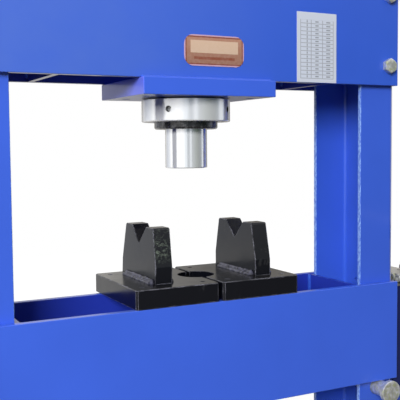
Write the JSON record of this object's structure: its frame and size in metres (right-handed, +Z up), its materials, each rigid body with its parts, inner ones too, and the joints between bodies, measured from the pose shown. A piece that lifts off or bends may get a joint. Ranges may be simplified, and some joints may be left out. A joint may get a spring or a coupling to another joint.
{
  "type": "hydraulic workshop press",
  "caption": "H-frame workshop press: hand-pumped hydraulic ram over a pinned bed of two beams, with black press plates and V-blocks.",
  "frame": {"origin": "on the floor, midway between the posts and midway between the front and back beams, under the cylinder's axis", "axes": "+X to the pump's side (right, seen from the front), +Y to the back, +Z up along the ram's axis"},
  "size_m": [1.236, 1.0176, 2.002],
  "materials": {
    "frame_paint": "gloss blue enamel",
    "weld_paint": "gloss blue enamel over weld beads",
    "black_paint": "gloss black paint, scuffed",
    "gland_black": "blackened steel, oily",
    "turned_steel": "turned, bright",
    "chrome": "hard chrome, polished",
    "cylinder_paint": "gloss blue enamel",
    "zinc": "zinc plated",
    "spring_steel": "oil-dark spring steel",
    "bronze": "bearing bronze",
    "seal_rubber": "matt",
    "tank_paint": "dark navy enamel",
    "pump_alloy": "cast and machined",
    "bright_steel": "bright steel",
    "grip_rubber": "ribbed, matt",
    "knob_plastic": "black moulded plastic",
    "gauge_black": "black enamel",
    "dial_white": "white enamel dial",
    "needle_black": "black",
    "gauge_window": "clear",
    "label_orange": "printed foil, orange",
    "chart_white": "printed foil, white"
  },
  "bodies": {
    "frame": {"post_left": "frame_paint", "post_right": "frame_paint", "foot_plate_left": "frame_paint", "foot_plate_right": "frame_paint", "foot_gussets": "frame_paint", "rear_tie_bar": "frame_paint", "top_beam_front": "frame_paint", "top_beam_back": "frame_paint", "top_beam_spacers": "frame_paint", "beam_bolts": "zinc", "beam_washers": "zinc", "beam_nuts": "zinc", "cylinder_mount_plate": "frame_paint", "frame_welds": "weld_paint", "bed_beam_front": "frame_paint", "bed_beam_back": "frame_paint", "bed_spacers": "frame_paint", "bed_pin_left": "zinc", "bed_pin_right": "zinc", "pin_clips": "zinc", "cylinder_barrel": "cylinder_paint", "cylinder_cap": "cylinder_paint", "gland": "gland_black", "guide_bush": "bronze", "rod_seals": "seal_rubber", "lock_ring": "turned_steel", "return_spring": "spring_steel", "press_plate_left": "black_paint", "press_plate_right": "black_paint", "v_block_left": "black_paint", "v_block_right": "black_paint", "v_block_welds": "black_paint", "pump_bracket": "frame_paint", "pump_tank": "tank_paint", "tank_lid": "pump_alloy", "tank_filler_cap": "knob_plastic", "pump_block": "pump_alloy", "block_plugs": "zinc", "plunger_gland": "zinc", "lever_fulcrum": "bright_steel", "fulcrum_pin": "zinc", "pressure_pipe": "bright_steel", "pipe_nuts": "zinc", "pipe_clips": "zinc", "port_block": "bright_steel", "gauge_case": "gauge_black", "gauge_dial": "dial_white", "gauge_glass": "gauge_window", "label_plate": "label_orange", "chart_plate": "chart_white"},
    "ram_and_piston": {"ram": "chrome", "piston": "bright_steel", "piston_seals": "seal_rubber"},
    "pump_lever": {"lever_socket": "tank_paint", "lever_handle": "zinc", "lever_grip": "grip_rubber"},
    "pump_plunger": {"pump_plunger": "chrome", "plunger_pin": "zinc"},
    "release_valve": {"release_valve": "bright_steel"},
    "gauge_needle": {"gauge_needle": "needle_black"}
  },
  "joints": [
    {"name": "ram_slide", "type": "slide", "parent": "frame", "child": "ram_and_piston", "axis": [0, 0, -1], "range_m": [-0.065, 0.135], "deforming": ["return_spring"]},
    {"name": "lever_pivot", "type": "hinge", "parent": "frame", "child": "pump_lever", "pos_m": [0.632, -0.014, 1.071], "axis": [-1, 0, 0], "range_deg": [0, 50]},
    {"name": "plunger_slide", "type": "slide", "parent": "frame", "child": "pump_plunger", "axis": [0, 0, 1], "range_m": [0, 0.0374]},
    {"name": "valve_turn", "type": "hinge", "parent": "frame", "child": "release_valve", "pos_m": [0.578, -0.092, 0.988], "axis": [0, -1, 0], "range_deg": [0, 540]},
    {"name": "needle_turn", "type": "hinge", "parent": "frame", "child": "gauge_needle", "pos_m": [0, -0.0156, 1.95], "axis": [0, 1, 0], "range_deg": [0, 270], "stiffness_Nm_per_rad": 0.0005}
  ],
  "couplings": [
    {"joint": "plunger_slide", "follows": "lever_pivot", "m_per_rad": 0.042743}
  ]
}
